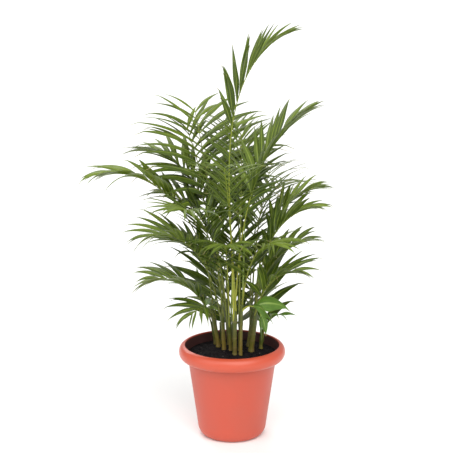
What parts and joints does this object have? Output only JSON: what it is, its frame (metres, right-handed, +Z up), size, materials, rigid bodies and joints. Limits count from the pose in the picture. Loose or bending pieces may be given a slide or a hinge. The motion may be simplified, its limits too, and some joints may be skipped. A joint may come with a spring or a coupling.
{
  "type": "potted palm",
  "caption": "Clump-forming feather palm with arching pinnate fronds on slim canes, in a round plastic pot with a rolled rim.",
  "frame": {"origin": "centre of the pot's flat underside", "axes": "+Z up, +X to the plant's right as seen from the front, +Y to the back"},
  "size_m": [0.636, 0.6036, 1.0554],
  "materials": {
    "pot_plastic": "coral red moulded plastic, satin",
    "potting_mix": "dark, crumbly and matt",
    "cane": "smooth yellow-green cane, ringed by leaf scars",
    "spear": "folded new leaf, pale green",
    "young_leaf": "mid green, satin",
    "palm_leaf": "deep green, satin, lighter towards the tips"
  },
  "bodies": {
    "root": {"frond_back_high": "palm_leaf", "frond_back_left": "palm_leaf", "frond_back_low": "palm_leaf", "frond_back_right": "palm_leaf", "frond_front_high": "palm_leaf", "frond_front_left": "palm_leaf", "frond_front_right": "palm_leaf", "frond_left_crest": "palm_leaf", "frond_left_front": "palm_leaf", "frond_left_high": "palm_leaf", "frond_left_long": "palm_leaf", "frond_left_low": "palm_leaf", "frond_left_lowest": "palm_leaf", "frond_left_mid": "palm_leaf", "frond_left_rear": "palm_leaf", "frond_left_under": "palm_leaf", "frond_left_upper": "palm_leaf", "frond_middle": "palm_leaf", "frond_right_high": "palm_leaf", "frond_right_low": "palm_leaf", "frond_right_mid": "palm_leaf", "frond_right_rear": "palm_leaf", "frond_right_under": "palm_leaf", "frond_right_upper": "palm_leaf", "frond_top": "palm_leaf", "pot": "pot_plastic", "potting_mix": "potting_mix", "shoot_back_left": "cane", "shoot_back_right": "cane", "shoot_front": "cane", "shoot_left": "cane", "shoot_middle": "cane", "shoot_right": "cane", "spear_middle": "spear", "spear_right_inner": "spear", "stem_back": "cane", "stem_front": "cane", "stem_left": "cane", "stem_left_back": "cane", "stem_left_inner": "cane", "stem_middle": "cane", "stem_right": "cane", "stem_right_back": "cane", "stem_right_inner": "cane", "young_back_left": "young_leaf", "young_back_right": "young_leaf", "young_front": "young_leaf", "young_left_front": "young_leaf", "young_left_rear": "young_leaf", "young_middle_left": "young_leaf", "young_middle_rear": "young_leaf", "young_right_front": "young_leaf", "young_right_rear": "young_leaf"}
  },
  "joints": []
}
